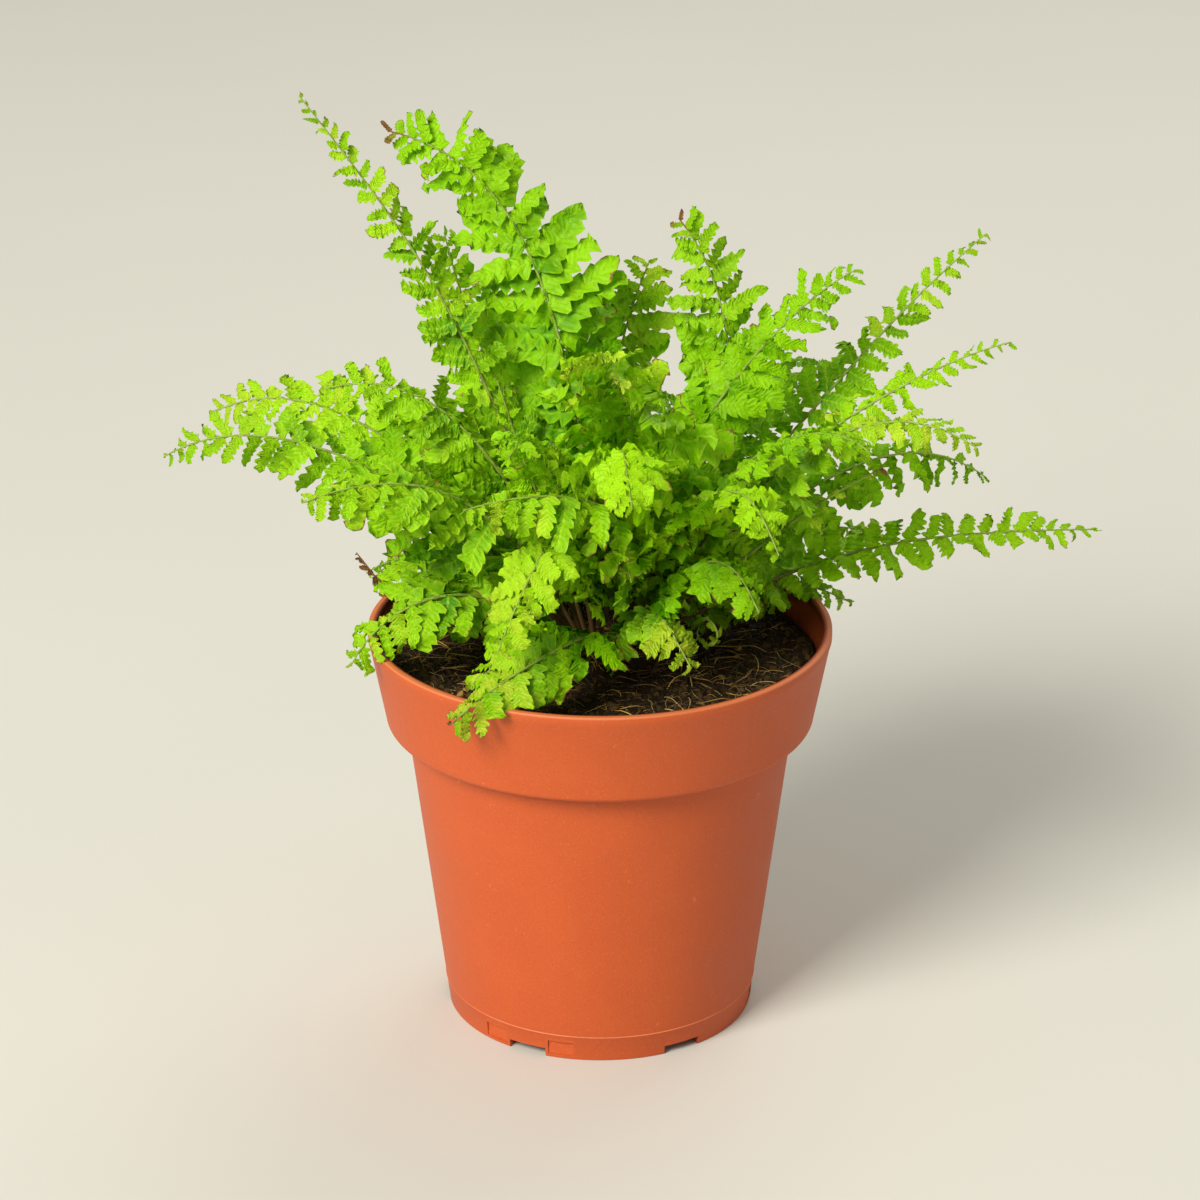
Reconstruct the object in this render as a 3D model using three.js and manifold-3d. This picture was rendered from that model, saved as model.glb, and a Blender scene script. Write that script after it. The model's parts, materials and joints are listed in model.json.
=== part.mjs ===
// A small lime-green fern in a 12 cm terracotta-coloured plastic nursery pot.
// Millimetres, +Z up. Every leaf is a piece of its own, rooted on the crown that sits on the peat.

import * as THREE from 'three';
import Module from 'manifold-3d';
import { mergeVertices } from 'three/addons/utils/BufferGeometryUtils.js';

const wasm = await Module();
wasm.setup();

// ---------- Pot ----------
const potHeight = 106;
const rimRadius = 60; // outside of the lip
const footRadius = 40.3; // outside of the foot
const wall = 1.4;
const lipThickness = 2.2; // the rolled lip is thicker than the wall
const bandHeight = 26; // the deep band under the lip
const bandTaper = 4.3; // how much narrower the band is at its lower edge
const shoulderStep = 5.4; // from the band in to the body
const skirtHeight = 7; // foot skirt under the raised floor
const skirtTaper = 0.8;
const holeRadius = 4; // drainage holes in the floor
const holeRing = 24;
const holeCount = 6;
const notchHeight = 2.4; // drainage notches in the skirt
const notchWidth = 10.5;
const notchHeading = 242; // first notch, in degrees round from +X
const notchCount = 6;
const nicheHeight = 4; // shallow recesses on both sides of every second notch
const nicheWidth = 7;
const nicheDepth = 0.6;
const nicheLift = 1;
const nicheOffset = 13.5; // degrees from the notch
const potSides = 72;

// ---------- Peat and crown ----------
const headspace = 9; // from the lip down to the peat
const fitGap = 0.4; // between pieces that touch
const lumpHeight = 1.1;
const soilSides = 40;
const crownRadius = 15;
const crownHeight = 7;
const crownSides = 20;

// ---------- Fronds ----------
const stipeThickness = 1.3;
const bladeThickness = 1.1; // at the rachis; a blade thins out to its edges
const toothDepth = 0.4; // share of the half width cut in between two pairs of leaflets
const sprigThickness = 1.5;
const rimClearance = 4; // a draping frond passes this far over the lip

// ---------- Where the plant stands ----------
// The fern leans right and back over its pot, so the pot's axis stands left and front of the middle.
const potOffset = [-10, -7];

const soilTop = potHeight - headspace;
const floorLevel = skirtHeight + wall;
const bandFootRadius = rimRadius - bandTaper;
const bodyTopRadius = bandFootRadius - shoulderStep;
const shoulderFoot = potHeight - bandHeight;
const shoulderRise = shoulderStep * 0.45; // how far the shoulder's rounding rises
const crownBase = soilTop + fitGap;

const colours = {
  terracotta: 0xd2602f,
  peat: 0x3a2a20,
  rhizome: 0x5b4a2c,
  lime: 0x8cc92c,
  green: 0x4f9a22,
  pale: 0xb4d650,
  dry: 0x9a7440,
};

// A point round the pot: heading in degrees from +X, reach from the axis, height above the peat.
function place(heading, reach, height) {
  const angle = THREE.MathUtils.degToRad(heading);
  return new THREE.Vector3(reach * Math.cos(angle), reach * Math.sin(angle), soilTop + height);
}

function named(name, geometry, colour, roughness) {
  const material = new THREE.MeshStandardMaterial({ color: colour, roughness, metalness: 0 });
  const mesh = new THREE.Mesh(geometry, material);
  mesh.name = name;
  return mesh;
}

// ---------- Joining and cutting ----------
function toSolid(geometry) {
  const bare = geometry.clone();
  bare.deleteAttribute('normal');
  bare.deleteAttribute('uv');
  const merged = mergeVertices(bare, 1e-4);
  const corners = merged.index.array;
  const triangles = [];
  for (let i = 0; i < corners.length; i += 3) {
    const [a, b, c] = [corners[i], corners[i + 1], corners[i + 2]];
    if (a !== b && b !== c && c !== a) triangles.push(a, b, c);
  }
  return new wasm.Manifold(new wasm.Mesh({
    numProp: 3,
    vertProperties: new Float32Array(merged.attributes.position.array),
    triVerts: new Uint32Array(triangles),
  }));
}

function toGeometry(solid) {
  const mesh = solid.getMesh();
  const geometry = new THREE.BufferGeometry();
  geometry.setAttribute('position', new THREE.BufferAttribute(mesh.vertProperties, 3));
  geometry.setIndex(new THREE.BufferAttribute(mesh.triVerts, 1));
  geometry.computeVertexNormals();
  return geometry;
}

function lathe(profile, sides) {
  const points = profile.map(([radius, z]) => new THREE.Vector2(radius, z));
  return new THREE.LatheGeometry(points, sides).rotateX(Math.PI / 2);
}

// ---------- Pot ----------
function outerRadius(z) {
  if (z < skirtHeight) return footRadius + skirtTaper * (z / skirtHeight);
  const rise = (z - skirtHeight) / (potHeight - bandHeight - skirtHeight);
  return THREE.MathUtils.lerp(footRadius + skirtTaper, bodyTopRadius, rise);
}

// The inside of the wall, from the floor up to the lip.
function insideProfile() {
  return [
    [outerRadius(floorLevel) - wall, floorLevel],
    [bodyTopRadius - wall, shoulderFoot + wall],
    [bandFootRadius - wall, shoulderFoot + shoulderRise + wall],
    [rimRadius - lipThickness * 0.3 - wall, potHeight - lipThickness * 1.6],
  ];
}

function potGeometry() {
  const lipDrop = lipThickness * 0.5;
  const profile = [
    [0, skirtHeight],
    [footRadius - wall, skirtHeight],
    [footRadius - wall, 0],
    [footRadius, 0],
    [outerRadius(skirtHeight), skirtHeight],
    [bodyTopRadius, shoulderFoot],
    [bodyTopRadius + shoulderStep * 0.7, shoulderFoot + shoulderRise * 0.4],
    [bandFootRadius, shoulderFoot + shoulderRise],
    [rimRadius - lipThickness * 0.3, potHeight - lipThickness],
    [rimRadius, potHeight - lipDrop],
    [rimRadius - lipThickness * 0.3, potHeight - lipThickness * 0.1],
    [rimRadius - lipThickness * 0.5, potHeight],
    [rimRadius - lipThickness, potHeight - lipDrop],
    ...insideProfile().reverse(),
    [0, floorLevel],
  ];
  let pot = toSolid(lathe(profile, potSides));
  for (let i = 0; i < holeCount; i += 1) {
    const spot = place((360 / holeCount) * i, holeRing, 0);
    const drill = new THREE.CylinderGeometry(holeRadius, holeRadius, 4 * wall, 16);
    drill.rotateX(Math.PI / 2).translate(spot.x, spot.y, skirtHeight + wall / 2);
    pot = pot.subtract(toSolid(drill));
  }
  const across = (width, depth, height, heading, radius, z) => {
    const angle = THREE.MathUtils.degToRad(heading);
    const block = new THREE.BoxGeometry(depth, width, height).translate(radius, 0, z);
    return toSolid(block.rotateZ(angle));
  };
  for (let i = 0; i < notchCount; i += 1) {
    const heading = notchHeading + (360 / notchCount) * i;
    pot = pot.subtract(across(notchWidth, 8 * wall, 2 * notchHeight, heading, footRadius, 0));
    if (i % 2 === 1) continue;
    for (const side of [-nicheOffset, nicheOffset]) {
      const middle = nicheLift + nicheHeight / 2;
      const depthAt = outerRadius(middle) - nicheDepth + 5 * wall;
      pot = pot.subtract(across(nicheWidth, 10 * wall, nicheHeight, heading + side, depthAt, middle));
    }
  }
  return toGeometry(pot);
}

// ---------- Peat ----------
function soilGeometry() {
  const [floorEdge, bodyTop, bandFoot, underLip] = insideProfile();
  const inset = 2 * fitGap;
  const share = (soilTop - bandFoot[1]) / (underLip[1] - bandFoot[1]);
  const topRadius = THREE.MathUtils.lerp(bandFoot[0], underLip[0], share) - inset;
  const profile = [
    [0, floorEdge[1] + fitGap],
    [floorEdge[0] - inset, floorEdge[1] + fitGap],
    [bodyTop[0] - inset, bodyTop[1]],
    [bandFoot[0] - inset, bandFoot[1] + fitGap],
    [topRadius, soilTop - lumpHeight],
  ];
  const topRings = 6;
  for (let ring = 0; ring <= topRings; ring += 1) {
    profile.push([(topRadius - lumpHeight) * (1 - ring / topRings), soilTop]);
  }
  const geometry = lathe(profile, soilSides);
  const spots = geometry.attributes.position;
  for (let i = 0; i < spots.count; i += 1) {
    const [x, y, z] = [spots.getX(i), spots.getY(i), spots.getZ(i)];
    const clear = THREE.MathUtils.smoothstep(Math.hypot(x, y), crownRadius + 2, crownRadius + 9);
    const lump = Math.sin(x * 0.31 + 1) * Math.sin(y * 0.37 + 2) + Math.sin(x * 0.13 - y * 0.17);
    if (z > soilTop - lumpHeight / 2) spots.setZ(i, z + (clear * lumpHeight * (lump - 2)) / 2);
  }
  return geometry;
}

// ---------- Crown ----------
function crownTop(radius) {
  return crownBase + crownHeight * Math.sqrt(Math.max(0, 1 - (radius / crownRadius) ** 2));
}

function crownGeometry() {
  const profile = [[0, crownBase]];
  const rings = 6;
  for (let ring = 0; ring <= rings; ring += 1) {
    const turn = (Math.PI / 2) * (ring / rings);
    profile.push([crownRadius * Math.cos(turn), crownTop(crownRadius * Math.cos(turn))]);
  }
  return lathe(profile, crownSides);
}

// ---------- Fronds ----------
// Each frond leaves the crown towards its knee and bends over to its tip; both are a heading in
// degrees, a reach from the pot's axis and a height above the peat. Width is across the leaflets,
// and roll turns the blade about its rachis. A low frond's knee and tip go by the lip it hangs over.
const overLip = headspace + rimClearance;
const fronds = {
  left: [
    { knee: [170, 35, 100], tip: [172, 75, 147], width: 20, roll: -65 },
    { knee: [100, 20, 122], tip: [154, 59, 134], width: 26, roll: -60 },
    { knee: [138, 35, 62], tip: [143, 50, 105], width: 18, roll: -50 },
    { knee: [200, 36, 92], tip: [182, 70, 74], width: 20, roll: -35 },
    { knee: [192, 66, 84], tip: [185, 110, 58], width: 22, roll: -55 },
    { knee: [158, 62, 76], tip: [166, 104, 58], width: 20, roll: -40 },
    { knee: [222, 45, 76], tip: [208, 82, 57], width: 20, roll: -40 },
    { knee: [177, 28, 38], tip: [178, 50, 20], width: 18, roll: -30 },
    { knee: [229, 22, 52], tip: [221, 35, 84], width: 12, roll: -110 },
    { knee: [206, 48, overLip + 30], tip: [201, rimRadius + 7, headspace - 2], width: 20, roll: -35 },
  ],
  back: [
    { knee: [90, 26, 62], tip: [76, 50, 92], width: 20, roll: 20 },
    { knee: [30, 62, 66], tip: [62, 42, 106], width: 20, roll: 40 },
    { knee: [105, 50, 70], tip: [108, 92, 48], width: 24, roll: 0 },
    { knee: [80, 48, 62], tip: [78, 96, 38], width: 24, roll: 10 },
    { knee: [52, 50, 74], tip: [50, 92, 56], width: 24, roll: -10 },
    { knee: [132, 48, 62], tip: [134, 90, 44], width: 24, roll: 5 },
    { knee: [95, 46, overLip + 20], tip: [94, rimRadius + 22, headspace + 4], width: 24, roll: 0 },
    { knee: [60, 44, overLip + 18], tip: [62, rimRadius + 12, headspace - 2], width: 22, roll: 8 },
    { knee: [150, 44, overLip + 16], tip: [148, rimRadius + 14, headspace - 2], width: 22, roll: -8 },
    { knee: [32, 44, overLip + 22], tip: [30, rimRadius + 26, headspace + 8], width: 24, roll: 10 },
  ],
  right: [
    { knee: [18, 46, 56], tip: [11, 100, 108], width: 20, roll: 45 },
    { knee: [10, 27, 84], tip: [0, 64, 104], width: 18, roll: 50 },
    { knee: [352, 56, 78], tip: [352, 103, 90], width: 18, roll: 40 },
    { knee: [334, 66, 96], tip: [334, 102, 74], width: 18, roll: 25 },
    { knee: [1, 66, 72], tip: [6, 100, 46], width: 20, roll: 35 },
    { knee: [12, 70, overLip + 20], tip: [7, 130, headspace + 20], width: 18, roll: 45 },
    { knee: [28, 52, overLip + 6], tip: [16, rimRadius + 9, headspace - 2], width: 14, roll: 15 },
    { knee: [326, 48, 88], tip: [320, 84, 76], width: 18, roll: 10 },
    { knee: [308, 48, 86], tip: [304, 78, 54], width: 18, roll: 0 },
    { knee: [341, 52, 46], tip: [337, 76, 64], width: 10, roll: 25 },
  ],
  front: [
    { knee: [327, 24, 66], tip: [267, 50, 100], width: 26, roll: 0 },
    { knee: [248, 32, 86], tip: [250, 66, 78], width: 20, roll: -10 },
    { knee: [274, 38, 98], tip: [276, 80, 72], width: 18, roll: 5 },
    { knee: [296, 46, 74], tip: [238, 62, 60], width: 20, roll: -15 },
    { knee: [312, 42, 56], tip: [310, 62, 32], width: 20, roll: 15 },
    { knee: [258, 40, 76], tip: [246, 61, 24], width: 20, roll: -5 },
    { knee: [294, 30, 36], tip: [300, 46, 14], width: 14, roll: 5 },
    { knee: [272, 44, overLip + 22], tip: [238, rimRadius + 9, headspace - 3], width: 18, roll: -15 },
    { knee: [232, 28, 24], tip: [228, 48, 6], width: 14, roll: -10 },
  ],
};
const bladeTints = [colours.lime, colours.green, colours.pale];

// A steep frond is rooted near the middle of the crown and a low one near its edge.
function rootPoint(frond) {
  const [heading, reach, height] = frond.knee;
  const steepness = Math.atan2(height, reach) / (Math.PI / 2);
  const radius = crownRadius * THREE.MathUtils.clamp(1.05 - steepness, 0.15, 0.85);
  const lift = crownTop(radius) + fitGap + stipeThickness / 2 - soilTop;
  return place(heading, radius, lift);
}

// Half the width of a blade along its rachis: bare stipe, widest past a third, pointed tip.
function halfWidth(along, width) {
  const bare = 0.24;
  const blade = (along - bare) / (1 - bare);
  if (blade <= 0) return stipeThickness / 2;
  const swell = Math.min(1, 0.35 + blade * 1.7) * (1 - blade) ** 0.55;
  return Math.max(stipeThickness / 2, (width / 2) * swell);
}

function frondGeometry(frond) {
  const curve = new THREE.QuadraticBezierCurve3(rootPoint(frond), place(...frond.knee), place(...frond.tip));
  const rows = 28;
  const geometry = new THREE.CylinderGeometry(1, 1, 1, 4, rows);
  const level = place(frond.tip[0] + 90, 1, -soilTop);
  const spots = geometry.attributes.position;
  const roll = THREE.MathUtils.degToRad(frond.roll);
  for (let i = 0; i < spots.count; i += 1) {
    const along = spots.getY(i) + 0.5;
    const row = Math.round(along * rows);
    const tangent = curve.getTangentAt(along);
    const side = level.clone().addScaledVector(tangent, -level.dot(tangent)).normalize();
    side.applyAxisAngle(tangent, roll);
    const face = new THREE.Vector3().crossVectors(side, tangent);
    const full = halfWidth(along, frond.width);
    const half = row % 2 === 1 ? full : Math.max(stipeThickness / 2, full * (1 - toothDepth));
    const thickness = THREE.MathUtils.lerp(stipeThickness, bladeThickness, along) / 2;
    const spot = curve.getPointAt(along);
    spot.addScaledVector(side, spots.getX(i) * half);
    spot.addScaledVector(face, spots.getZ(i) * thickness);
    spots.setXYZ(i, spot.x, spot.y, spot.z);
  }
  return geometry;
}

// ---------- Sprigs ----------
// Thin shoots with no leaflets: a young crozier over the peat and a dry wiry stalk at the left.
function shootGeometry(points, steps) {
  const curve = new THREE.CatmullRomCurve3(points);
  const section = new THREE.Shape().absarc(0, 0, sprigThickness / 2, 0, 2 * Math.PI);
  const extrusion = { steps, curveSegments: 3, extrudePath: curve, bevelEnabled: false };
  return new THREE.ExtrudeGeometry(section, extrusion);
}

function crozierPoints() {
  const points = [place(318, crownRadius + 2.5, 1.6), place(320, 24, 12)];
  const turns = 1.1;
  const steps = 9;
  const centre = [34, 15];
  for (let i = 0; i <= steps; i += 1) {
    const swing = Math.PI - 2 * Math.PI * turns * (i / steps);
    const size = 4.6 * (1 - 0.45 * (i / steps));
    points.push(place(322, centre[0] + size * Math.cos(swing), centre[1] + size * Math.sin(swing)));
  }
  return points;
}

function stalkPoints() {
  return [place(178, crownRadius + 3, 2), place(177, 40, 8), place(176, 54, 16), place(176, 63, 27)];
}

// ---------- The whole plant ----------
const group = new THREE.Group();
const plant = new THREE.Group();
plant.position.set(...potOffset, 0);
group.add(plant);

plant.add(named('pot', potGeometry(), colours.terracotta, 0.55));
plant.add(named('soil', soilGeometry(), colours.peat, 0.95));
plant.add(named('crown', crownGeometry(), colours.rhizome, 0.9));
for (const [side, list] of Object.entries(fronds)) {
  list.forEach((frond, index) => {
    const tint = bladeTints[index % bladeTints.length];
    plant.add(named(`frond_${side}_${index + 1}`, frondGeometry(frond), tint, 0.5));
  });
}
plant.add(named('crozier', shootGeometry(crozierPoints(), 30), colours.pale, 0.6));
plant.add(named('dry_stalk', shootGeometry(stalkPoints(), 14), colours.dry, 0.8));

export default group;
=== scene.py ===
"""A small lime-green fern with ruffled leaflets, in a terracotta-coloured plastic nursery pot."""

import json
import math
import random

import bmesh
import bpy
from mathutils import Matrix, Vector, noise

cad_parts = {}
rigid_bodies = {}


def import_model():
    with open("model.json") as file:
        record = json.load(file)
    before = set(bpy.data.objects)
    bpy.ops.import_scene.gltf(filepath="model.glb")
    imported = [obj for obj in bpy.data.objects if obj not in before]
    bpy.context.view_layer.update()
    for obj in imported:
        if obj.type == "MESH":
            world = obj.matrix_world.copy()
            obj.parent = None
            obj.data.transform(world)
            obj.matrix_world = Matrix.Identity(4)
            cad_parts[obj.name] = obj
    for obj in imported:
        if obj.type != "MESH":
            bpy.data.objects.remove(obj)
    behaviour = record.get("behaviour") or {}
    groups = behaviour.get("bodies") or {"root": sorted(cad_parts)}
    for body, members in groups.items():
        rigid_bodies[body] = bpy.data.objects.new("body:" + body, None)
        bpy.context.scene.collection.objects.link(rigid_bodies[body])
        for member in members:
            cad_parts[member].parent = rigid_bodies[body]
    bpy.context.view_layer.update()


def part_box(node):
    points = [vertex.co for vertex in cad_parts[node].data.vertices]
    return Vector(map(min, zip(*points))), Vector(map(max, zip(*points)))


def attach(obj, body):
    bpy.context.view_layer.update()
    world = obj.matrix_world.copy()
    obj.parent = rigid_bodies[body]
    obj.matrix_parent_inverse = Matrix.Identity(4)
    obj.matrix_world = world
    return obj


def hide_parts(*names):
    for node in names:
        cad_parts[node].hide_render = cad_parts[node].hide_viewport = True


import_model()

bl_info = {
    "name": "Potted fern",
    "version": (1, 0, 0),
    "blender": (4, 5, 0),
    "location": "3D View > Sidebar > Fern",
    "description": "Makes a fern in a nursery pot, one piece at a time",
    "category": "Add Mesh",
}

MM = 0.001
POT_LOW, POT_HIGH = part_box("pot")
CROWN_LOW, CROWN_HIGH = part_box("crown")
SOIL_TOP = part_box("soil")[1][2]
AXIS = Vector(((POT_LOW[0] + POT_HIGH[0]) / 2, (POT_LOW[1] + POT_HIGH[1]) / 2, 0))
RIM_RADIUS = (POT_HIGH[0] - POT_LOW[0]) / 2
POT_HEIGHT = POT_HIGH[2]
HEADSPACE = POT_HEIGHT - SOIL_TOP
CROWN_RADIUS = (CROWN_HIGH[0] - CROWN_LOW[0]) / 2
CROWN_HEIGHT = CROWN_HIGH[2] - CROWN_LOW[2]


# ---------------------------------------------------------------- fronds
# Each frond leaves the crown towards its knee and bends over to its tip. Both are a heading in
# degrees round the pot, a reach from its axis and a height above the peat, in millimetres; then
# come the blade's width in millimetres and its roll about the rachis in degrees.
RIM = RIM_RADIUS / MM
LIP = HEADSPACE / MM
OVER_LIP = LIP + 4

FRONDS = {
    "left": (
        ((170, 35, 100), (172, 75, 147), 20, -65),
        ((100, 20, 122), (154, 59, 134), 26, -60),
        ((138, 35, 62), (143, 50, 105), 18, -50),
        ((200, 36, 92), (182, 70, 74), 20, -35),
        ((192, 66, 84), (185, 110, 58), 22, -55),
        ((158, 62, 76), (166, 104, 58), 20, -40),
        ((222, 45, 76), (208, 82, 57), 20, -40),
        ((177, 28, 38), (178, 50, 20), 18, -30),
        ((229, 22, 52), (221, 35, 84), 12, -110),
        ((206, 48, OVER_LIP + 30), (201, RIM + 7, LIP - 2), 20, -35),
    ),
    "back": (
        ((90, 26, 62), (76, 50, 92), 20, 20),
        ((30, 62, 66), (62, 42, 106), 20, 40),
        ((105, 50, 70), (108, 92, 48), 24, 0),
        ((80, 48, 62), (78, 96, 38), 24, 10),
        ((52, 50, 74), (50, 92, 56), 24, -10),
        ((132, 48, 62), (134, 90, 44), 24, 5),
        ((95, 46, OVER_LIP + 20), (94, RIM + 22, LIP + 4), 24, 0),
        ((60, 44, OVER_LIP + 18), (62, RIM + 12, LIP - 2), 22, 8),
        ((150, 44, OVER_LIP + 16), (148, RIM + 14, LIP - 2), 22, -8),
        ((32, 44, OVER_LIP + 22), (30, RIM + 26, LIP + 8), 24, 10),
    ),
    "right": (
        ((18, 46, 56), (11, 100, 108), 20, 45),
        ((10, 27, 84), (0, 64, 104), 18, 50),
        ((352, 56, 78), (352, 103, 90), 18, 40),
        ((334, 66, 96), (334, 102, 74), 18, 25),
        ((1, 66, 72), (6, 100, 46), 20, 35),
        ((12, 70, OVER_LIP + 20), (7, 130, LIP + 20), 18, 45),
        ((28, 52, OVER_LIP + 6), (16, RIM + 9, LIP - 2), 14, 15),
        ((326, 48, 88), (320, 84, 76), 18, 10),
        ((308, 48, 86), (304, 78, 54), 18, 0),
        ((341, 52, 46), (337, 76, 64), 10, 25),
    ),
    "front": (
        ((327, 24, 66), (267, 50, 100), 26, 0),
        ((248, 32, 86), (250, 66, 78), 20, -10),
        ((274, 38, 98), (276, 80, 72), 18, 5),
        ((296, 46, 74), (238, 62, 60), 20, -15),
        ((312, 42, 56), (310, 62, 32), 20, 15),
        ((258, 40, 76), (246, 61, 24), 20, -5),
        ((294, 30, 36), (300, 46, 14), 14, 5),
        ((272, 44, OVER_LIP + 22), (238, RIM + 9, LIP - 3), 18, -15),
        ((232, 28, 24), (228, 48, 6), 14, -10),
    ),
}
# How a frond's leaflets grow where it isn't the usual way: their length against half the width
# above, how late along the frond they shorten, and how far they hang from the rachis.
HABIT = {
    ("left", 1): (1.2, 1.4, 0.2),
    ("left", 2): (1.7, 2.3, 0.2),
    ("left", 3): (1.6, 2.2, 0.3),
    ("left", 5): (1.5, 1.5, 0.35),
    ("left", 7): (1.7, 2.6, 0.7),
    ("left", 9): (1.5, 1.5, 0.2),
    ("left", 10): (1.5, 2.2, 0.5),
    ("back", 1): (1.9, 2.6, 0.2),
    ("back", 2): (1.7, 2.6, 0.15),
    ("right", 1): (1.25, 1.5, 0.2),
    ("right", 2): (1.7, 2.0, 0.2),
    ("right", 3): (1.2, 1.4, 0.3),
    ("right", 5): (1.5, 1.8, 0.6),
    ("right", 6): (1.05, 2.0, -0.15),
    ("right", 10): (1.4, 1.4, 0.5),
    ("front", 1): (1.9, 3.0, 0.2),
    ("front", 3): (1.9, 2.8, 0.4),
    ("front", 4): (1.6, 2.8, 1.0),
    ("front", 5): (1.35, 2.0, 0.55),
    ("front", 6): (1.25, 2.6, 0.3),
    ("front", 7): (1.7, 2.4, 0.3),
    ("front", 8): (1.45, 3.2, 0.3),
}
USUAL_HABIT = (1.5, 2.0, 0.25)
# Ageing fronds: how dry as a whole, how dry at the tip and how yellow towards it.
AGEING = {
    ("left", 2): (0, 1, 0),
    ("left", 5): (0, 0, 0.3),
    ("left", 6): (0, 0.3, 0.5),
    ("back", 2): (0, 1, 0.2),
    ("right", 4): (0, 0, 0.5),
    ("right", 10): (0.35, 1, 0.5),
    ("front", 6): (0, 0.3, 0.5),
    ("front", 7): (0, 0.4, 0.8),
    ("front", 8): (0, 1, 1),
}
SLOTS = ("frond_lime", "frond_green", "frond_pale")
BARE_SHARE = 0.16  # of a frond's length, from its foot, without leaflets
CROWDING = 1.2  # above 1, leaflets stand closer together towards the tip
TIP_SIZE = 0.17  # the smallest leaflets against the largest
LEAFLET_SHAPES = 6
POT_SIDES = 192


# ---------------------------------------------------------------- node trees
class Link:
    """An output socket. Arithmetic on it adds Math nodes to its tree."""

    def __init__(self, graph, socket):
        self.graph = graph
        self.socket = socket

    def other(self, name):
        return Link(self.graph, self.socket.node.outputs[name])

    def math(self, operation, left, right=None):
        values = {0: left} if right is None else {0: left, 1: right}
        return self.graph.node("ShaderNodeMath", {"operation": operation}, values)

    def __add__(self, value):
        return self.math("ADD", self, value)

    def __sub__(self, value):
        return self.math("SUBTRACT", self, value)

    def __rsub__(self, value):
        return self.math("SUBTRACT", value, self)

    def __mul__(self, value):
        return self.math("MULTIPLY", self, value)

    def __truediv__(self, value):
        return self.math("DIVIDE", self, value)

    def __pow__(self, value):
        return self.math("POWER", self, value)

    def __gt__(self, value):
        return self.math("GREATER_THAN", self, value)

    def __abs__(self):
        return self.math("ABSOLUTE", self)

    def sine(self):
        return self.math("SINE", self)

    def cosine(self):
        return self.math("COSINE", self)

    def at_most(self, value):
        return self.math("MINIMUM", self, value)

    def at_least(self, value):
        return self.math("MAXIMUM", self, value)

    __radd__ = __add__
    __rmul__ = __mul__


class Graph:
    """A shader or geometry tree that is filled one node at a time."""

    def __init__(self, tree):
        self.tree = tree

    def node(self, kind, settings=None, values=None, output=None):
        made = self.tree.nodes.new(kind)
        settings = dict(settings or {})
        stops = settings.pop("stops", None)
        for name, value in settings.items():
            setattr(made, name, value)
        if stops:
            self.set_stops(made.color_ramp, stops)
        for name, value in (values or {}).items():
            self.feed(self.socket(made.inputs, name), value)
        if not made.outputs:
            return made
        if output is None:
            return Link(self, next(s for s in made.outputs if s.enabled))
        return Link(self, self.socket(made.outputs, output))

    @staticmethod
    def socket(sockets, name):
        if isinstance(name, int):
            return sockets[name]
        return next(s for s in sockets if s.name == name and s.enabled)

    @staticmethod
    def set_stops(ramp, stops):
        while len(ramp.elements) < len(stops):
            ramp.elements.new(1)
        for element, (place, colour) in zip(ramp.elements, stops):
            element.position = place
            element.color = colour

    def feed(self, socket, value):
        if isinstance(value, (list, tuple)) and value and isinstance(value[0], Link):
            for link in value:
                self.tree.links.new(link.socket, socket)
        elif isinstance(value, Link):
            self.tree.links.new(value.socket, socket)
        else:
            socket.default_value = value

    def vector(self, operation, *values, output=None):
        sockets = {3 if operation == "SCALE" and i == 1 else i: v for i, v in enumerate(values)}
        return self.node("ShaderNodeVectorMath", {"operation": operation}, sockets, output)

    def mix(self, factor, first, second, blend="MIX"):
        settings = {"data_type": "RGBA", "blend_type": blend}
        return self.node("ShaderNodeMix", settings, {0: factor, 6: first, 7: second})

    def noise(self, scale, detail=2.0, vector=None, output="Fac"):
        values = {"Scale": scale, "Detail": detail}
        if vector is not None:
            values["Vector"] = vector
        return self.node("ShaderNodeTexNoise", None, values, output)

    def between(self, value, low, high, start=0.0, end=1.0):
        """Maps value from low..high to start..end, with a soft start and end."""
        settings = {"interpolation_type": "SMOOTHSTEP"}
        values = {0: value, 1: low, 2: high, 3: start, 4: end}
        return self.node("ShaderNodeMapRange", settings, values)

    def reading(self, label, kind="FLOAT"):
        """A named attribute of the geometry."""
        return self.node("GeometryNodeInputNamedAttribute", {"data_type": kind}, {0: label})

    def store(self, geometry, label, value, domain="POINT"):
        """The geometry with value kept on it under a label."""
        settings = {"data_type": "FLOAT", "domain": domain}
        values = {0: geometry, 2: label, 3: value}
        return self.node("GeometryNodeStoreNamedAttribute", settings, values)

    def shapes(self, collection):
        """The shapes of a collection, one instance each."""
        values = {"Collection": collection, "Separate Children": True, "Reset Children": True}
        return self.node("GeometryNodeCollectionInfo", None, values)

    def dice(self, low, high, seed, index=None):
        """A random number for each point."""
        values = {"Min": low, "Max": high, "Seed": seed}
        if index is not None:
            values["ID"] = index
        return self.node("FunctionNodeRandomValue", {"data_type": "FLOAT"}, values)


def new_geometry(name, inputs):
    """A geometry tree whose modifier shows inputs, a list of (name, socket type)."""
    tree = bpy.data.node_groups.new(name, "GeometryNodeTree")
    tree.interface.new_socket(name="Geometry", in_out="INPUT", socket_type="NodeSocketGeometry")
    for label, kind in inputs:
        tree.interface.new_socket(name=label, in_out="INPUT", socket_type=kind)
    tree.interface.new_socket(name="Geometry", in_out="OUTPUT", socket_type="NodeSocketGeometry")
    graph = Graph(tree)
    return graph, graph.node("NodeGroupInput", output="Geometry")


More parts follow.
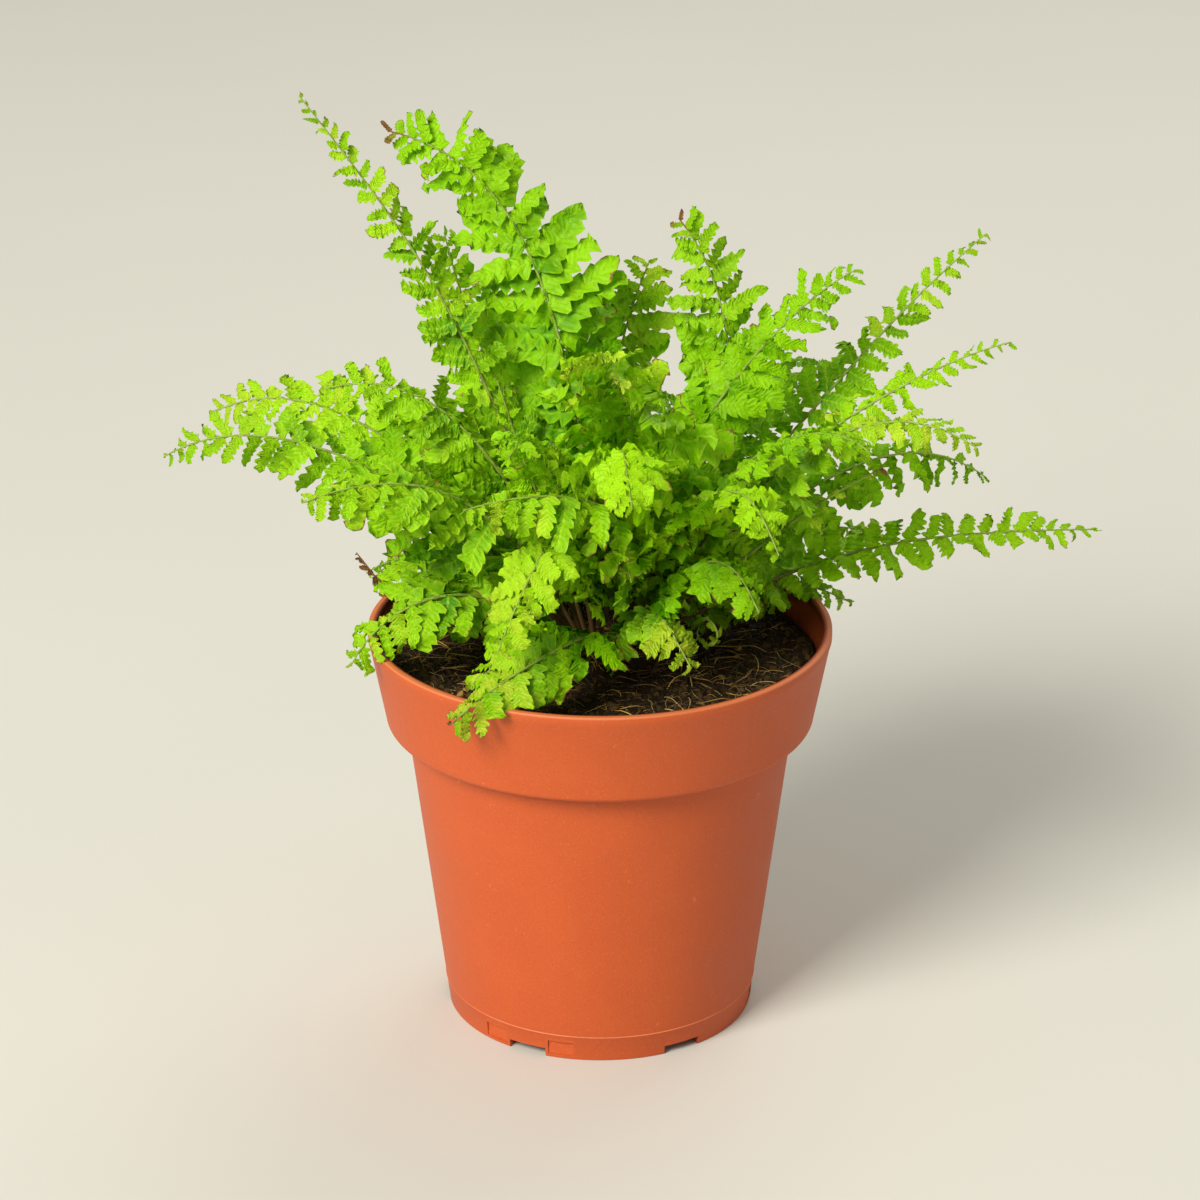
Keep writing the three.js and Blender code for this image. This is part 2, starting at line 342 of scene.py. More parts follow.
def grow(source, tree, values):
    """The plain mesh that a geometry tree makes of the source object, which is then removed."""
    modifier = source.modifiers.new(tree.name, "NODES")
    modifier.node_group = tree
    for item in tree.interface.items_tree:
        if item.item_type == "SOCKET" and item.in_out == "INPUT" and item.name in values:
            modifier[item.identifier] = values[item.name]
    return baked(source)


def baked(source):
    """The mesh of an object with its modifiers applied; the object is removed."""
    depsgraph = bpy.context.evaluated_depsgraph_get()
    mesh = bpy.data.meshes.new_from_object(
        source.evaluated_get(depsgraph), preserve_all_data_layers=True, depsgraph=depsgraph,
    )
    bpy.data.objects.remove(source)
    return mesh


def new_object(name, mesh):
    made = bpy.data.objects.new(name, mesh)
    bpy.context.scene.collection.objects.link(made)
    return made


def finish_piece(name, mesh, nodes, slot):
    """Shows the mesh as a piece that stands for the named CAD nodes."""
    mesh.name = name
    piece = new_object(name, mesh)
    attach(piece, "root")
    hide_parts(*nodes)
    return piece


# ---------------------------------------------------------------- materials
def new_material(name, **uniform):
    """An empty material's graph and its Principled shader, with the given uniform values."""
    material = bpy.data.materials.new(name)
    material.use_nodes = True
    graph = Graph(material.node_tree)
    shader = material.node_tree.nodes["Principled BSDF"]
    for socket, value in uniform.items():
        shader.inputs[socket.replace("_", " ")].default_value = value
    return material, graph, shader


def object_place(graph):
    return graph.node("ShaderNodeTexCoord", output="Object")


def attribute(graph, name):
    return graph.node("ShaderNodeAttribute", {"attribute_name": name}, output="Fac")


def bump(graph, shader, height, distance):
    values = {"Height": height, "Distance": distance, "Strength": 1.0}
    graph.feed(shader.inputs["Normal"], graph.node("ShaderNodeBump", None, values))


def roughness(graph, shader, grain, low, high):
    graph.feed(shader.inputs["Roughness"], graph.between(grain, 0.3, 0.7, low, high))


def plastic_material(look):
    """Moulded terracotta-coloured plastic: fine speckle, faint scuffs, a painted highlight on the
    lip, painted shade on the inside of the wall and peat dirt near the peat's surface.
    """
    material, graph, shader = new_material("moulded_plastic", IOR=1.46)
    place = object_place(graph)
    parts = graph.node("ShaderNodeSeparateXYZ", None, {0: place}, "X")
    across = parts - AXIS.x
    deep = parts.other("Y") - AXIS.y
    height = parts.other("Z")
    radius = (across * across + deep * deep) ** 0.5
    speckle = graph.noise(2600.0, 1.0, place)
    mottle = graph.noise(55.0, 3.0, place)
    warm = graph.mix(graph.between(mottle, 0.35, 0.7), look.plastic_deep, look.plastic_warm)
    dots = graph.between(speckle, 0.58, 0.74, 0.0, 0.2)
    tint = graph.mix(dots, warm, look.plastic_pale)
    dark_dots = graph.between(graph.noise(1900.0, 1.0, place), 0.58, 0.76, 0.0, 0.4)
    tint = graph.mix(dark_dots, tint, look.plastic_dark)
    scuff_place = graph.vector("MULTIPLY", place, (1.0, 1.0, 0.6))
    scuffs = graph.between(graph.noise(420.0, 4.0, scuff_place), 0.68, 0.74, 0.0, 0.4)
    scuffs = scuffs * graph.between(graph.noise(32.0, 1.0, place), 0.5, 0.62)
    tint = graph.mix(scuffs, tint, look.plastic_pale)
    # Painted highlight: a pale line along the top of the lip.
    lip = graph.between(height, POT_HEIGHT - 0.7 * MM, POT_HEIGHT - 0.3 * MM, 0.0, 0.45)
    lip = lip * graph.between(radius, RIM_RADIUS - 1.4 * MM, RIM_RADIUS - 0.9 * MM)
    tint = graph.mix(lip, tint, look.plastic_pale)
    seam = graph.between(abs(height - look.skirt_height - 0.1 * MM), 0.08 * MM, 0.24 * MM, 0.5, 0.0)
    tint = graph.mix(seam * graph.between(mottle, 0.3, 0.6, 0.3, 1.0), tint, look.plastic_pale)
    # Painted shade: the inside of the wall, from a little below the peat up to the lip, is
    # darkened.
    slope = look.band_taper / look.band_height
    wall_middle = RIM_RADIUS - 1.2 * MM - (POT_HEIGHT - height) * slope
    inner = graph.between(wall_middle - radius, 0.0, 0.4 * MM)
    inner = inner * (height > SOIL_TOP - 5 * MM)
    tint = graph.mix(inner * 0.85, tint, look.plastic_shade)
    dirt = inner * graph.between(height, SOIL_TOP - 1 * MM, SOIL_TOP + 7 * MM, 1.0, 0.0)
    dirt = dirt * graph.between(graph.noise(300.0, 4.0, place), 0.42, 0.6)
    tint = graph.mix(dirt * 0.8, tint, look.peat_dark)
    graph.feed(shader.inputs["Base Color"], tint)
    graph.feed(shader.inputs["Roughness"], graph.between(mottle, 0.3, 0.7, 0.5, 0.6) + scuffs * 0.2)
    grain = speckle * 0.6 + graph.noise(700.0, 2.0, place) * 0.6
    bump(graph, shader, grain, 0.06 * MM)
    return material


def leaf_material(name, look, deep, fresh, pale):
    """A thin leaf that light comes through: deep at the heart, partly its own older green and
    partly painted shade; fresh outwards; pale at the tips, partly young growth and partly a painted
    highlight.
    """
    material, graph, shader = new_material(name, IOR=1.3)
    place = object_place(graph)
    along = attribute(graph, "along")
    out = attribute(graph, "out")
    across = abs(attribute(graph, "across"))
    tone = attribute(graph, "tone")
    dry = attribute(graph, "dry")
    patches = graph.noise(90.0, 3.0, place)
    # Partly painted shade: the deep colour towards each frond's foot and rachis is partly the older
    # leaves' own green and partly shade among the fronds.
    freshness_and_light = along * 0.7 + out * 0.25 + (tone - 0.5) * 0.5 + (patches - 0.5) * 0.9 + 0.18
    tint = graph.mix(graph.between(freshness_and_light, 0.0, 0.85), deep, fresh)
    # Partly painted highlight: the pale tips are partly young growth and partly the yellow-lime
    # highlights on the leaves.
    tip = graph.between(along * 0.75 + (tone - 0.5) * 0.5 + (patches - 0.5) * 1.1, 0.5, 0.95)
    tint = graph.mix(tip, tint, pale)
    patchy = graph.between(graph.noise(260.0, 3.0, place) + tone * 0.2, 0.4, 0.65)
    tint = graph.mix(attribute(graph, "yellow") * patchy, tint, look.leaf_yellow)
    rim = graph.between(across, 0.55, 1.0, 0.0, 0.35)
    tint = graph.mix(rim, tint, pale)
    rib = graph.between(across, 0.03, 0.16, 0.45, 0.0)
    tint = graph.mix(rib, tint, pale)
    veins = abs((out * 31.4 - across * 5.0).sine())
    tint = graph.mix(graph.between(veins, 0.0, 0.35, 0.22, 0.0), tint, deep)
    blotch = graph.noise(420.0, 3.0, place)
    edge_brown = graph.between(across + out * 0.7 + blotch * 1.2, 2.0, 2.2) * (tone > 0.72)
    spots = graph.between(graph.noise(620.0, 1.0, place), 0.73, 0.78) * (tone > 0.6)
    withered = graph.between(dry + (blotch - 0.5) * 0.8 + out * 0.2, 0.55, 0.8)
    brown = edge_brown.at_least(spots * 0.6).at_least(withered)
    tint = graph.mix(brown, tint, look.leaf_brown)
    graph.feed(shader.inputs["Base Color"], tint)
    roughness(graph, shader, patches, 0.42, 0.58)
    crinkle = graph.noise(1500.0, 2.0, place) * 0.3 + veins * 0.7
    bump(graph, shader, crinkle + graph.noise(480.0, 2.0, place) * 2.0, 0.22 * MM)
    glow = tuple(0.2 * a + 0.35 * b + 0.45 * c for a, b, c in zip(deep, fresh, look.leaf_glow))
    through = graph.node("ShaderNodeBsdfTranslucent", None, {"Color": glow})
    thinness = graph.between(freshness_and_light, 0.0, 0.85, 0.3, 0.42) * (1 - brown)
    lit = Link(graph, shader.outputs["BSDF"])
    both = graph.node("ShaderNodeMixShader", None, {0: thinness, 1: lit, 2: through})
    graph.feed(graph.tree.nodes["Material Output"].inputs["Surface"], both)
    return material


def stem_material(look):
    """Thin stalks, green-brown with darker scaly feet."""
    material, graph, shader = new_material("stalk", IOR=1.45)
    place = object_place(graph)
    along = attribute(graph, "along")
    tint = graph.mix(graph.between(along, 0.05, 0.6), look.stem_foot, look.stem_green)
    flecks = graph.between(graph.noise(600.0, 3.0, place), 0.45, 0.65, 0.0, 0.4)
    tint = graph.mix(flecks, tint, look.stem_foot)
    tint = graph.mix(graph.between(attribute(graph, "dry"), 0.3, 0.9), tint, look.leaf_brown)
    graph.feed(shader.inputs["Base Color"], tint)
    roughness(graph, shader, graph.noise(800.0, 2.0, place), 0.45, 0.65)
    bump(graph, shader, graph.noise(1800.0, 2.0, place), 0.1 * MM)
    return material


def peat_material(look):
    """Damp peat: dark crumbs, some warmer, with a few golden bits."""
    material, graph, shader = new_material("peat_crumb", IOR=1.25)
    place = object_place(graph)
    tone = attribute(graph, "tone")
    grain = graph.noise(900.0, 5.0, place)
    blend = tone * 0.75 + grain * 0.5
    tint = graph.mix(graph.between(blend, 0.35, 1.0), look.peat_dark, look.peat_brown)
    tint = graph.mix(graph.between(tone, 0.975, 0.995), tint, look.peat_gold)
    graph.feed(shader.inputs["Base Color"], tint)
    roughness(graph, shader, grain, 0.62, 0.95)
    bump(graph, shader, grain, 0.5 * MM)
    return material


def fibre_material(look):
    """Dry root and bark fibres, from tan to dark brown."""
    material, graph, shader = new_material("fibre", IOR=1.4)
    place = object_place(graph)
    tone = attribute(graph, "tone")
    grain = graph.noise(1400.0, 3.0, place)
    dryness = graph.between(tone + (grain - 0.5) * 0.5, 0.35, 1.0)
    tint = graph.mix(dryness, look.fibre_dark, look.fibre_tan)
    graph.feed(shader.inputs["Base Color"], tint)
    roughness(graph, shader, grain, 0.6, 0.85)
    bump(graph, shader, grain, 0.1 * MM)
    return material


# ---------------------------------------------------------------- pot
def arc(centre, radius, start, end, steps):
    """Points of a round stretch of a profile, angles in degrees from outwards."""
    turns = [math.radians(start + (end - start) * i / steps) for i in range(steps + 1)]
    return [(centre[0] + radius * math.cos(t), centre[1] + radius * math.sin(t)) for t in turns]


def pot_profile(look):
    """Half the pot's section, from the middle of its underside to the middle of its floor."""
    rim, top = RIM_RADIUS, POT_HEIGHT
    foot, skirt, wall = look.foot_radius, look.skirt_height, look.wall
    skirt_top = foot + look.skirt_taper
    band_foot = rim - look.band_taper
    body_top = band_foot - look.shoulder_step
    shoulder = top - look.band_height
    rise = look.shoulder_step * 0.45
    bead = look.lip_thickness / 2
    round_foot = 0.35 * MM
    ridge = 0.12 * MM
    points = [(0, skirt), (foot - wall, skirt), (foot - wall, round_foot)]
    points += arc((foot - wall + round_foot, round_foot), round_foot, 180, 270, 3)
    points += arc((foot - round_foot, round_foot), round_foot, -90, 0, 3)
    points += [(skirt_top - ridge, skirt - 3 * ridge), (skirt_top + ridge, skirt)]
    points += [(skirt_top, skirt + 2 * ridge)]
    steps = 6
    for i in range(1, steps):
        share = i / steps
        radius = skirt_top + (body_top - skirt_top) * share
        points.append((radius, skirt + (shoulder - skirt) * share))
    hollow = 0.9 * MM
    points += arc((body_top + hollow, shoulder - hollow), hollow, 180, 95, 4)
    edge = 1.7 * MM
    points += arc((band_foot - edge, shoulder + rise), edge, -75, 0, 6)
    corner = 0.35 * MM
    points += [(rim - 0.25 * MM, top - 2.4 * bead), (rim, top - 1.9 * bead)]
    points += arc((rim - corner, top - corner), corner, 0, 90, 5)
    points += arc((rim - 2 * bead + 2 * corner, top - 2 * corner), 2 * corner, 90, 180, 6)
    points += [(rim - 0.3 * MM - wall, top - look.lip_thickness * 1.6)]
    points += [(band_foot - wall, shoulder + rise + wall), (body_top - wall, shoulder + wall)]
    floor = skirt + wall
    points += arc((skirt_top - 2 * wall, floor + wall), wall, 0, -90, 4)
    points += [(0, floor)]
    return points


def spin(name, profile, sides):
    """A closed body of revolution about the pot's axis; the profile starts and ends on it."""
    rings = profile[1:-1]
    points = [(AXIS.x, AXIS.y, profile[0][1]), (AXIS.x, AXIS.y, profile[-1][1])]
    for radius, z in rings:
        for i in range(sides):
            turn = 2 * math.pi * i / sides
            points.append((AXIS.x + radius * math.cos(turn), AXIS.y + radius * math.sin(turn), z))
    at = lambda ring, i: 2 + ring * sides + i % sides
    faces = []
    for i in range(sides):
        faces.append((0, at(0, i + 1), at(0, i)))
        faces.append((1, at(len(rings) - 1, i), at(len(rings) - 1, i + 1)))
    for ring in range(len(rings) - 1):
        for i in range(sides):
            faces.append((at(ring, i), at(ring, i + 1), at(ring + 1, i + 1), at(ring + 1, i)))
    mesh = bpy.data.meshes.new(name)
    mesh.from_pydata(points, [], faces)
    return mesh


def block(width, depth, height, heading, radius, z):
    """A cutter that faces outwards at a heading, as a bmesh ready to be written."""
    shape = bmesh.new()
    turn = Matrix.Rotation(math.radians(heading), 4, "Z")
    move = Matrix.Translation(AXIS) @ turn @ Matrix.Translation((radius, 0, z))
    bmesh.ops.create_cube(shape, size=1, matrix=move @ Matrix.Diagonal((depth, width, height, 1)))
    return shape


def pot_cutters(look):
    """The drainage holes, the notches in the skirt and the niches beside every second notch."""
    cutters = []
    for i in range(look.hole_count):
        turn = 2 * math.pi * i / look.hole_count
        spot = AXIS + Vector((math.cos(turn), math.sin(turn), 0)) * look.hole_ring
        spot.z = look.skirt_height
        drill = bmesh.new()
        bmesh.ops.create_cone(
            drill, cap_ends=True, segments=32, radius1=look.hole_radius, radius2=look.hole_radius,
            depth=8 * look.wall, matrix=Matrix.Translation(spot),
        )
        cutters.append(drill)
    outside = look.foot_radius + look.skirt_taper * 0.4
    for i in range(look.notch_count):
        heading = look.notch_heading + 360 / look.notch_count * i
        size = (look.notch_width, 8 * look.wall, 2 * look.notch_height)
        cutters.append(block(*size, heading, look.foot_radius, 0))
        if i % 2 == 1:
            continue
        for side in (-look.niche_offset, look.niche_offset):
            middle = look.niche_lift + look.niche_height / 2
            size = (look.niche_width, 10 * look.wall, look.niche_height)
            radius = outside - look.niche_depth + 5 * look.wall
            cutters.append(block(*size, heading + side, radius, middle))
    return cutters


# ---------------------------------------------------------------- leaflets
def leaflet_mesh(name, seed, lobes=5):
    """One leaflet of unit length: oblong, round-lobed, thicker at its rib and closed all round."""
    dice = random.Random(seed)
    outline = (0.7, 0.98, 1.03)
    rows = lobes * len(outline) + 2
    curl = dice.uniform(0.0, 0.35)
    twist = dice.uniform(-0.4, 0.4)
    cup = dice.uniform(-0.2, 0.35)
    bend = dice.uniform(-0.15, 0.15)
    rib = Vector((0, 0, 0.01))
    points = []
    shares = []
    for row in range(rows):
        x = row / (rows - 1)
        body = 0.27 * min(1, 0.55 + x * 9) * max(0.06, 1 - x ** 6) ** 0.5
        sag = -curl * x * x + 0.03 * math.sin(9 * x + seed)
        middle = Vector((x - 0.04 * curl, bend * x * x, sag))
        edges = []
        for side in (-1, 1):
            step = (row + (0 if side < 0 else 2)) % 3
            half = body * outline[step] * dice.uniform(0.94, 1.06)
            if side > 0:
                half += 0.09 * math.exp(-((x - 0.14) / 0.09) ** 2)
            wave = dice.uniform(-0.05, 0.05) + (0.08, 0.0, -0.05)[step]
            lift = wave + cup * half + side * twist * x * half
            edges.append(middle + Vector((0.008 * step, side * half, lift)))
        if row == 0 or row == rows - 1:
            edges = [middle.lerp(edge, 0.6) for edge in edges]
        points += [edges[0], middle + rib, edges[1], middle - rib]
        shares += [(x, -1.0), (x, 0.0), (x, 1.0), (x, 0.0)]
    faces = [(3, 2, 1, 0), tuple(4 * (rows - 1) + k for k in range(4))]
    for row in range(rows - 1):
        for k in range(4):
            a, b = 4 * row + k, 4 * row + (k + 1) % 4
            faces.append((a, b, b + 4, a + 4))
    mesh = bpy.data.meshes.new(name)
    mesh.from_pydata([tuple(p) for p in points], [], faces)
    fix_normals(mesh)
    for label, index in (("out", 0), ("across", 1)):
        layer = mesh.attributes.new(label, "FLOAT", "POINT")
        layer.data.foreach_set("value", [share[index] for share in shares])
    mesh.shade_smooth()
    sharp = mesh.attributes.new("sharp_edge", "BOOLEAN", "EDGE")
    rims = {i for i in range(len(points)) if i % 4 in (0, 2)}
    sharp.data.foreach_set("value", [set(edge.vertices) <= rims for edge in mesh.edges])
    return mesh


def fix_normals(mesh):
    shape = bmesh.new()
    shape.from_mesh(mesh)
    bmesh.ops.recalc_face_normals(shape, faces=shape.faces)
    shape.to_mesh(mesh)
    shape.free()


def template_collection(name, meshes):
    """A collection of shapes to scatter; it is in no scene, so none of them shows."""
    collection = bpy.data.collections.new(name)
    for mesh in meshes:
        collection.objects.link(bpy.data.objects.new(mesh.name, mesh))
    return collection


def leaflet_shapes(first_seed):
    meshes = [leaflet_mesh(f"leaflet_{i}", i + first_seed) for i in range(LEAFLET_SHAPES)]
    return template_collection("leaflets", meshes)


def remove_templates(*collections):
    for collection in collections:
        for template in list(collection.objects):
            bpy.data.objects.remove(template)
        bpy.data.collections.remove(collection)


# ---------------------------------------------------------------- frond tree
def leaflet_row(graph, source, rachis, side, stagger):
    """One side's leaflets, placed along the rachis and turned outwards."""
    count = source.other("Leaflets per side")
    line = graph.node("GeometryNodeMeshLine", None, {"Count": count})
    index = graph.node("GeometryNodeInputIndex")
    share = (index + stagger) / count
    bare = source.other("Bare share")
    factor = bare + (1 - bare) * (1 - (1 - share) ** CROWDING)
    settings = {"data_type": "FLOAT_VECTOR", "mode": "FACTOR"}
    direction = graph.reading("side", "FLOAT_VECTOR")
    values = {"Curves": rachis, "Value": direction, "Factor": factor}
    sample = graph.node("GeometryNodeSampleCurve", settings, values)
    tangent = sample.other("Tangent")
    sideways = graph.vector("SCALE", sample, side)
    upper = graph.vector("NORMALIZE", graph.vector("CROSS_PRODUCT", tangent, sample))
    seed = source.other("Seed")
    dice = lambda low, high, shift: graph.dice(low, high, seed + (shift + 10 * side), index)
    fade = (1.0 - (share * 0.985) ** source.other("Lateness")) ** 0.7
    swell = (0.66 + share * 1.6).at_most(1.0) * fade.at_least(TIP_SIZE)
    reach = source.other("Half width") * swell * dice(0.8, 1.15, 1)
    sweep = 0.1 + share * 0.55 + dice(-0.2, 0.2, 2)
    hang = source.other("Hang") + dice(-0.4, 0.4, 3)
    outwards = graph.vector("SCALE", sideways, sweep.cosine())
    outwards = graph.vector("ADD", outwards, graph.vector("SCALE", tangent, sweep.sine()))
    outwards = graph.vector("ADD", outwards, graph.vector("SCALE", upper, 0.0 - hang))
    lay = {"primary_axis": "X", "secondary_axis": "Z"}
    turned = graph.node("FunctionNodeAxesToRotation", lay, {0: outwards, 1: upper})
    twist = graph.node("ShaderNodeCombineXYZ", None, {0: dice(-0.55, 0.55, 4), 1: 0.0, 2: 0.0})
    twist = graph.node("FunctionNodeEulerToRotation", None, {0: twist})
    local = {"rotation_space": "LOCAL"}
    turned = graph.node("FunctionNodeRotateRotation", local, {0: turned, 1: twist})
    wide = (reach * 0.4 + swell * 6 * MM) * dice(0.85, 1.15, 5)
    scale = graph.node("ShaderNodeCombineXYZ", None, {0: reach, 1: wide * side, 2: reach})
    values = {"Geometry": line, "Position": sample.other("Position")}
    points = graph.node("GeometryNodeSetPosition", None, values)
    shapes = graph.shapes(source.other("Leaflets"))
    pick = graph.node(
        "FunctionNodeRandomValue", {"data_type": "INT"},
        {"Min": 0, "Max": LEAFLET_SHAPES - 1, "ID": index, "Seed": seed + 7 * side},
    )
    leaflets = graph.node(
        "GeometryNodeInstanceOnPoints", None,
        {"Points": points, "Instance": shapes, "Pick Instance": True, "Instance Index": pick,
         "Rotation": turned, "Scale": scale},
    )
    leaflets = graph.store(leaflets, "along", share, "INSTANCE")
    return graph.store(leaflets, "tone", dice(0.0, 1.0, 6), "INSTANCE")


def frond_tree():
    """Turns a rachis line into a frond: a tapering stalk with two rows of leaflets."""
    numbers = (
        "Half width", "Lateness", "Bare share", "Hang", "Ruffle", "Stalk radius", "Dryness",
        "Tip dryness", "Yellowing",
    )
    inputs = [("Leaflets", "NodeSocketCollection"), ("Leaflets per side", "NodeSocketInt")]
    inputs += [(label, "NodeSocketFloat") for label in numbers]
    inputs += [("Seed", "NodeSocketInt")]
    inputs += [(label, "NodeSocketMaterial") for label in ("Leaf finish", "Stalk finish")]
    graph, source = new_geometry("frond", inputs)
    rachis = graph.node("GeometryNodeMeshToCurve", None, {0: source})
    along = graph.node("GeometryNodeSplineParameter", output="Factor")
    taper = source.other("Stalk radius") * (1.0 - along * 0.72)
    stalk = graph.node("GeometryNodeSetCurveRadius", None, {"Curve": rachis, "Radius": taper})
    stalk = graph.store(stalk, "along", along)
    ring = graph.node("GeometryNodeCurvePrimitiveCircle", None, {"Resolution": 7, 4: 1.0})
    stalk = graph.node(
        "GeometryNodeCurveToMesh", None,
        {"Curve": stalk, "Profile Curve": ring, "Scale": taper, "Fill Caps": True},
    )
    stalk = graph.store(stalk, "stalk", 1.0)
    left = leaflet_row(graph, source, rachis, 1, 0.25)
    right = leaflet_row(graph, source, rachis, -1, 0.75)
    whole = graph.node("GeometryNodeJoinGeometry", None, {0: [stalk, left, right]})
    whole = graph.node("GeometryNodeRealizeInstances", None, {0: whole})
    place = graph.node("GeometryNodeInputPosition")
    waves = graph.vector("SUBTRACT", graph.noise(190.0, 1.0, place, "Color"), (0.5, 0.5, 0.5))
    ruffle = graph.vector("SCALE", waves, source.other("Ruffle") * graph.reading("out"))
    whole = graph.node("GeometryNodeSetPosition", None, {"Geometry": whole, "Offset": ruffle})
    along = graph.reading("along")
    dry = source.other("Tip dryness") * graph.between(along, 0.94, 0.99)
    whole = graph.store(whole, "dry", dry + source.other("Dryness"))
    yellow = source.other("Yellowing") * graph.between(along, 0.3, 0.9)
    whole = graph.store(whole, "yellow", yellow)
    whole = graph.node("GeometryNodeSetMaterial", None, {0: whole, 2: source.other("Leaf finish")})
    whole = graph.node(
        "GeometryNodeSetMaterial", None,
        {0: whole, 1: graph.reading("stalk") > 0.5, 2: source.other("Stalk finish")},
    )
    graph.node("NodeGroupOutput", None, {0: whole})
    return graph.tree


def place_round(heading, reach, height):
    """A point round the pot, from degrees and millimetres, with its height above the peat."""
    turn = math.radians(heading)
    level = Vector((math.cos(turn), math.sin(turn), 0)) * (reach * MM)
    return AXIS + level + Vector((0, 0, SOIL_TOP + height * MM))


def root_point(knee):
    """Steep fronds are rooted near the middle of the crown and low ones near its edge."""
    heading, reach, height = knee
    steepness = math.atan2(height, reach) / (math.pi / 2)
    share = min(0.85, max(0.15, 1.05 - steepness))
    dome = CROWN_HEIGHT * math.sqrt(1 - share * share)
    sink = 1.2 * MM
    return place_round(heading, CROWN_RADIUS * share / MM, 0) + Vector((0, 0, dome - sink))


def rachis_line(name, knee, tip, roll, seed):
    """The rachis as a line of points, each with the direction its leaflets stand out in."""
    dice = random.Random(seed)
    root, bend, end = root_point(knee), place_round(*knee), place_round(*tip)
    turn = math.radians(tip[0] + 90)
    level = Vector((math.cos(turn), math.sin(turn), 0))
    phase = dice.uniform(0, 6)
    steps = 40
    points, sides = [], []
    for i in range(steps + 1):
        t = i / steps
        tangent = ((bend - root) * (1 - t) + (end - bend) * t).normalized()
        side = (level - tangent * level.dot(tangent)).normalized()
        side.rotate(Matrix.Rotation(math.radians(roll), 3, tangent))
        spot = root * (1 - t) ** 2 + bend * (2 * t * (1 - t)) + end * t * t
        sway = math.sin(phase + 8 * t) * 0.9 * MM * t
        points.append(spot + side * sway)
        sides.append(side)
    return line_object(name, points, sides)


def line_object(name, points, sides):
    mesh = bpy.data.meshes.new(name)
    mesh.from_pydata([tuple(p) for p in points], [(i, i + 1) for i in range(len(points) - 1)], [])
    layer = mesh.attributes.new("side", "FLOAT_VECTOR", "POINT")
    layer.data.foreach_set("vector", [value for side in sides for value in side])
    return new_object(name, mesh)


def smooth_line(name, points):
    """A line through the points, rounded as a Catmull-Rom curve, with level side directions."""
    ends = [points[0] * 2 - points[1]] + points + [points[-1] * 2 - points[-2]]
    spots = []
    fine = 6
    for a, b, c, d in zip(ends, ends[1:], ends[2:], ends[3:]):
        for i in range(fine):
            t = i / fine
            square = (2 * a - 5 * b + 4 * c - d) * t * t
            cube = (3 * b - a - 3 * c + d) * t ** 3
            spots.append(0.5 * (2 * b + (c - a) * t + square + cube))
    spots.append(points[-1])
    heading = points[-1] - points[0]
    level = Vector((-heading.y, heading.x, 0)).normalized()
    return line_object(name, spots, [level] * len(spots))


def line_length(line):
    spots = [v.co for v in line.data.vertices]
    return sum((b - a).length for a, b in zip(spots, spots[1:]))


# ---------------------------------------------------------------- peat
def crumb_mesh(name, seed):
    """A small clod of peat."""
    shape = bmesh.new()
    bmesh.ops.create_icosphere(shape, subdivisions=1, radius=1)
    for vertex in shape.verts:
        vertex.co *= 1 + 0.55 * noise.noise(vertex.co * 1.7 + Vector((seed * 9.1, 0, 0)))
        vertex.co.z *= 0.7
    mesh = bpy.data.meshes.new(name)
    shape.to_mesh(mesh)
    shape.free()
    return mesh


def fibre_mesh(name, seed):
    """A curled fibre of about unit length, three-sided and closed at both ends."""
    dice = random.Random(seed)
    turn, climb = dice.uniform(-2.4, 2.4), dice.uniform(-0.2, 0.45)
    steps, thin = 6, 0.013
    points = []
    for i in range(steps + 1):
        t = i / steps
        heading = turn * (t - 0.5)
        arch = climb * t * (1 - t) * 1.5 + 0.03 * math.sin(7 * t + seed)
        spot = Vector((t - 0.5, 0.25 * turn * (t - 0.5) ** 2, arch))
        size = thin * (1 - 0.75 * abs(2 * t - 1) ** 3)
        for k in range(3):
            angle = 2 * math.pi * k / 3
            across = Vector((-math.sin(heading), math.cos(heading), 0)) * math.cos(angle)
            points.append(spot + (across + Vector((0, 0, math.sin(angle)))) * size)
    faces = [(2, 1, 0), tuple(3 * steps + k for k in range(3))]
    for i in range(steps):
        for k in range(3):
            a, b = 3 * i + k, 3 * i + (k + 1) % 3
            faces.append((a, b, b + 3, a + 3))
    mesh = bpy.data.meshes.new(name)
    mesh.from_pydata([tuple(p) for p in points], [], faces)
    fix_normals(mesh)
    return mesh


def scatter(graph, source, label, shift, size_low, size_high, squash):
    """Shapes scattered over the upward faces, shorter towards the bed's edge."""
    up = graph.node("GeometryNodeInputNormal", output="Normal")
    facing = graph.node("ShaderNodeSeparateXYZ", None, {0: up}, "Z") > 0.35
    seed = source.other("Seed") + shift
    spots = graph.node(
        "GeometryNodeDistributePointsOnFaces", None,
        {"Mesh": source, "Selection": facing, "Density": source.other(label + " density"),
         "Seed": seed},
    )
    shapes = graph.shapes(source.other(label + " shapes"))
    dice = lambda low, high, more: graph.dice(low, high, seed + more)
    tilt = {0: dice(-squash, squash, 1), 1: dice(-squash, squash, 2), 2: dice(-3.14, 3.14, 3)}
    turn = graph.node("ShaderNodeCombineXYZ", None, tilt)
    turn = graph.node("FunctionNodeEulerToRotation", None, {0: turn})
    size = dice(0.0, 1.0, 4) ** 2.2 * (size_high - size_low) + size_low
    away = graph.vector("SUBTRACT", graph.node("GeometryNodeInputPosition"), tuple(AXIS))
    away = graph.vector("MULTIPLY", away, (1.0, 1.0, 0.0))
    room = source.other("Bed radius") - graph.vector("LENGTH", away, output="Value")
    size = size.at_most((room * 1.6).at_least(size_low * 0.4))
    laid = graph.node(
        "GeometryNodeInstanceOnPoints", None,
        {"Points": spots, "Instance": shapes, "Pick Instance": True, "Rotation": turn,
         "Scale": size},
    )
    laid = graph.store(laid, "tone", dice(0.0, 1.0, 5), "INSTANCE")
    laid = graph.node("GeometryNodeRealizeInstances", None, {0: laid})
    finish = source.other(label + " finish")
    return graph.node("GeometryNodeSetMaterial", None, {0: laid, 2: finish})


